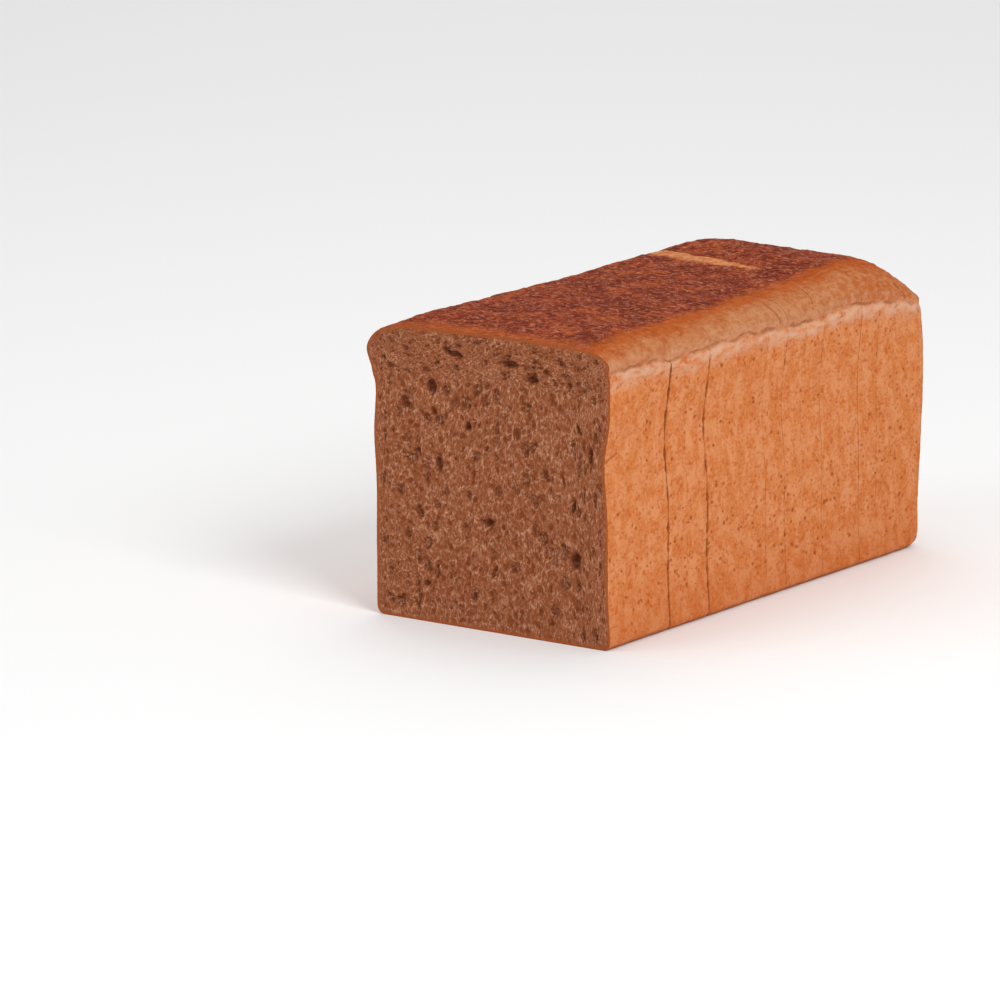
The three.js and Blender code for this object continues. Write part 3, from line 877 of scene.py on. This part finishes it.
def close_open_face(piece):
    """Takes the holes out of the knife's plane, so that finer ones can be sunk into it."""
    band = 5 * MM
    pick_faces(
        piece,
        lambda face: all(piece.data.vertices[i].co.y < FRONT + band for i in face.vertices),
    )
    bpy.ops.mesh.delete(type="FACE")
    bpy.ops.mesh.select_all(action="SELECT")
    bpy.ops.mesh.delete_loose()
    bpy.ops.mesh.select_mode(type="EDGE")
    bpy.ops.mesh.select_all(action="DESELECT")
    bpy.ops.mesh.select_non_manifold()
    bpy.ops.mesh.edge_face_add()
    bpy.ops.mesh.select_all(action="SELECT")
    bpy.ops.mesh.normals_make_consistent(inside=False)
    bpy.ops.object.mode_set(mode="OBJECT")


def is_flat_end(face, name):
    """Whether a face lies in one of the knife's planes."""
    near = face.center.y - BOXES[name][0].y < 5 * MM
    return abs(face.normal.y) > 0.85 and (near or name != HEEL)


def round_off(piece, name, levels):
    """Makes the flat ends one face each, keeps their edges sharp and rounds the crust between them."""
    for side in (-1, 1):
        pick_faces(piece, lambda face: is_flat_end(face, name) and face.normal.y * side > 0)
        bpy.ops.mesh.dissolve_faces()
    bpy.ops.mesh.select_all(action="SELECT")
    bpy.ops.mesh.tris_convert_to_quads(face_threshold=math.radians(60), shape_threshold=math.radians(120))
    pick_faces(piece, lambda face: is_flat_end(face, name))
    bpy.ops.mesh.region_to_loop()
    bpy.ops.transform.edge_crease(value=1)
    bpy.ops.object.mode_set(mode="OBJECT")
    rounding = piece.modifiers.new("rounding", "SUBSURF")
    rounding.levels = rounding.render_levels = levels
    bpy.ops.object.modifier_apply(modifier=rounding.name)


def knife_board(name, thick):
    """A board that ends in the plane of a slice's near cut, and its width and height."""
    low, high = BOXES[name]
    margin = 2 * MM
    span = max(high.x - low.x, high.z - low.z) + 2 * margin
    bpy.ops.object.select_all(action="DESELECT")
    bpy.ops.mesh.primitive_cube_add(
        size=1, location=(0, low.y - thick / 2, (low.z + high.z) / 2), scale=(span, thick, span)
    )
    bpy.ops.object.transform_apply(location=True, rotation=True, scale=True)
    return bpy.context.active_object, span


def stretch_to_knife(piece, name, reach):
    """Pushes the near flat end out past its plane, so that the board can cut it there."""
    pick_faces(piece, lambda face: is_flat_end(face, name) and face.normal.y < 0)
    bpy.ops.transform.translate(value=(0, -reach, 0))
    bpy.ops.object.mode_set(mode="OBJECT")


def take_away(piece, board):
    """Cuts the board out of the piece."""
    bpy.ops.object.select_all(action="DESELECT")
    piece.select_set(True)
    bpy.context.view_layer.objects.active = piece
    knife = piece.modifiers.new("knife", "BOOLEAN")
    knife.object = board
    knife.operation = "DIFFERENCE"
    bpy.ops.object.modifier_apply(modifier=knife.name)
    bpy.data.objects.remove(board)


def cut_fine(piece, sizes):
    """Cuts the open end again with a finely divided board, so that it can hold the crumb's cells."""
    stretch_to_knife(piece, CUT_END, 0.5 * MM)
    board, span = knife_board(CUT_END, 4 * MM)
    parts = round(math.sqrt(span / sizes.crumb_grain))
    pick_faces(board, lambda face: face.normal.y > 0.5)
    bpy.ops.mesh.subdivide(number_cuts=parts - 1)
    bpy.ops.mesh.subdivide(number_cuts=parts - 1)
    bpy.ops.object.mode_set(mode="OBJECT")
    take_away(piece, board)


def raise_relief(piece, name, sizes):
    """Applies the relief of this slice to the piece."""
    relief = piece.modifiers.new("relief", "NODES")
    relief.node_group = slice_relief(name, sizes)
    bpy.ops.object.modifier_apply(modifier=relief.name)


def hand_over(piece, name, smoothing):
    """Smooth shading, body and material slot of a piece; hides the imported solid that it replaces."""
    scene = bpy.context.scene
    bpy.ops.object.shade_smooth_by_angle(angle=smoothing)
    piece.data.materials.append(bread_material(scene.loaf_sizes, scene.loaf_colours))
    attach(piece, "root")
    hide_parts(name)


class BREAD_OT_end_slice(bpy.types.Operator):
    """Makes the first slice, whose open crumb shows in the cut face"""

    bl_idname = "bread.end_slice"
    bl_label = "Open end slice"

    def execute(self, context):
        sizes = context.scene.loaf_sizes
        piece = copy_solid(CUT_END)
        close_open_face(piece)
        round_off(piece, CUT_END, SLICE_ROUNDING)
        cut_fine(piece, sizes)
        raise_relief(piece, CUT_END, sizes)
        hand_over(piece, CUT_END, CRUMB_SMOOTHING)
        return {"FINISHED"}


class BREAD_OT_inner_slices(bpy.types.Operator):
    """Makes the slices between the open end and the heel"""

    bl_idname = "bread.inner_slices"
    bl_label = "Inner slices"

    def execute(self, context):
        for name in SLICES[1:]:
            piece = copy_solid(name)
            round_off(piece, name, SLICE_ROUNDING)
            raise_relief(piece, name, context.scene.loaf_sizes)
            hand_over(piece, name, CRUST_SMOOTHING)
        return {"FINISHED"}


class BREAD_OT_heel(bpy.types.Operator):
    """Makes the crusty heel"""

    bl_idname = "bread.heel"
    bl_label = "Heel"

    def execute(self, context):
        sizes = context.scene.loaf_sizes
        piece = copy_solid(HEEL)
        round_off(piece, HEEL, HEEL_ROUNDING)
        stretch_to_knife(piece, HEEL, 2 * MM)
        remesh = piece.modifiers.new("remesh", "REMESH")
        remesh.mode = "VOXEL"
        remesh.voxel_size = sizes.heel_grain
        bpy.ops.object.modifier_apply(modifier=remesh.name)
        board, _ = knife_board(HEEL, 6 * MM)
        take_away(piece, board)
        pick_faces(piece, lambda face: face.normal.y > -0.98)  # all but the knife's plane
        bpy.ops.mesh.subdivide(number_cuts=1)
        bpy.ops.object.mode_set(mode="OBJECT")
        raise_relief(piece, HEEL, sizes)
        hand_over(piece, HEEL, CRUST_SMOOTHING)
        return {"FINISHED"}


def plain_material(name, shade, roughness):
    """A material of one colour."""
    material = bpy.data.materials.new(name)
    material.use_nodes = True
    bench = Bench(material.node_tree)
    surface = bench.node(
        "ShaderNodeBsdfPrincipled", None, {"Base Color": (*shade, 1), "Roughness": roughness}
    )
    bench.node("ShaderNodeOutputMaterial", None, {"Surface": surface})
    return material


def add_light(name, place, target, size, watts):
    """A square soft light that faces the target."""
    lamp = bpy.data.lights.new(name, "AREA")
    lamp.shape = "SQUARE"
    lamp.size = size
    lamp.energy = watts
    light = bpy.data.objects.new(name, lamp)
    light.location = place
    light.rotation_euler = (Vector(target) - Vector(place)).to_track_quat("-Z", "Y").to_euler()
    bpy.context.scene.collection.objects.link(light)


class BREAD_OT_studio(bpy.types.Operator):
    """Sets the pale floor, the soft lights and the camera"""

    bl_idname = "bread.studio"
    bl_label = "Studio"

    def execute(self, context):
        scene = context.scene
        studio = scene.studio_settings
        bpy.ops.object.select_all(action="DESELECT")
        bpy.ops.mesh.primitive_plane_add(size=FLOOR_SIZE, location=(0, 0, 0))
        floor = context.active_object
        floor.name = "studio_floor"
        floor.data.materials.append(plain_material("studio floor", scene.loaf_colours.floor, 0.9))
        for name, place, target, size, setting in LIGHTS:
            add_light(name, place, target, size, getattr(studio, setting))

        world = bpy.data.worlds.new("pale room")
        scene.world = world
        world.use_nodes = True
        bench = Bench(world.node_tree)
        glow = bench.node(
            "ShaderNodeBackground", None, {"Color": (1, 1, 1, 1), "Strength": studio.world_light}
        )
        bench.node("ShaderNodeOutputWorld", None, {"Surface": glow})
        scene.view_settings.view_transform = "Standard"

        view = bpy.data.cameras.new("studio camera")
        view.sensor_width = 36
        view.lens = studio.camera_lens
        view.clip_end = 50
        camera = bpy.data.objects.new("studio camera", view)
        camera.location = studio.camera_place
        camera.rotation_euler = (math.pi / 2 - studio.camera_dip, 0, studio.camera_turn)
        scene.collection.objects.link(camera)
        scene.camera = camera
        return {"FINISHED"}


OPERATORS = (BREAD_OT_studio, BREAD_OT_end_slice, BREAD_OT_inner_slices, BREAD_OT_heel)
GROUPS = {"loaf_sizes": LoafSizes, "loaf_colours": LoafColours, "studio_settings": StudioSettings}


class BREAD_PT_panel(bpy.types.Panel):
    """The loaf's sizes, colours and making steps"""

    bl_idname = "BREAD_PT_panel"
    bl_label = "Tin loaf"
    bl_space_type = "VIEW_3D"
    bl_region_type = "UI"
    bl_category = "Loaf"

    def draw(self, context):
        for operator in OPERATORS:
            self.layout.operator(operator.bl_idname)
        for name, group in GROUPS.items():
            box = self.layout.box()
            for setting in group.__annotations__:
                box.prop(getattr(context.scene, name), setting)


def register():
    for entry in (*GROUPS.values(), *OPERATORS, BREAD_PT_panel):
        bpy.utils.register_class(entry)
    for name, group in GROUPS.items():
        setattr(bpy.types.Scene, name, PointerProperty(type=group))


def unregister():
    for name in GROUPS:
        delattr(bpy.types.Scene, name)
    for entry in reversed((*GROUPS.values(), *OPERATORS, BREAD_PT_panel)):
        bpy.utils.unregister_class(entry)


def main():
    register()
    bpy.ops.bread.studio()
    bpy.ops.bread.end_slice()
    bpy.ops.bread.inner_slices()
    bpy.ops.bread.heel()


if __name__ == "__main__":
    main()
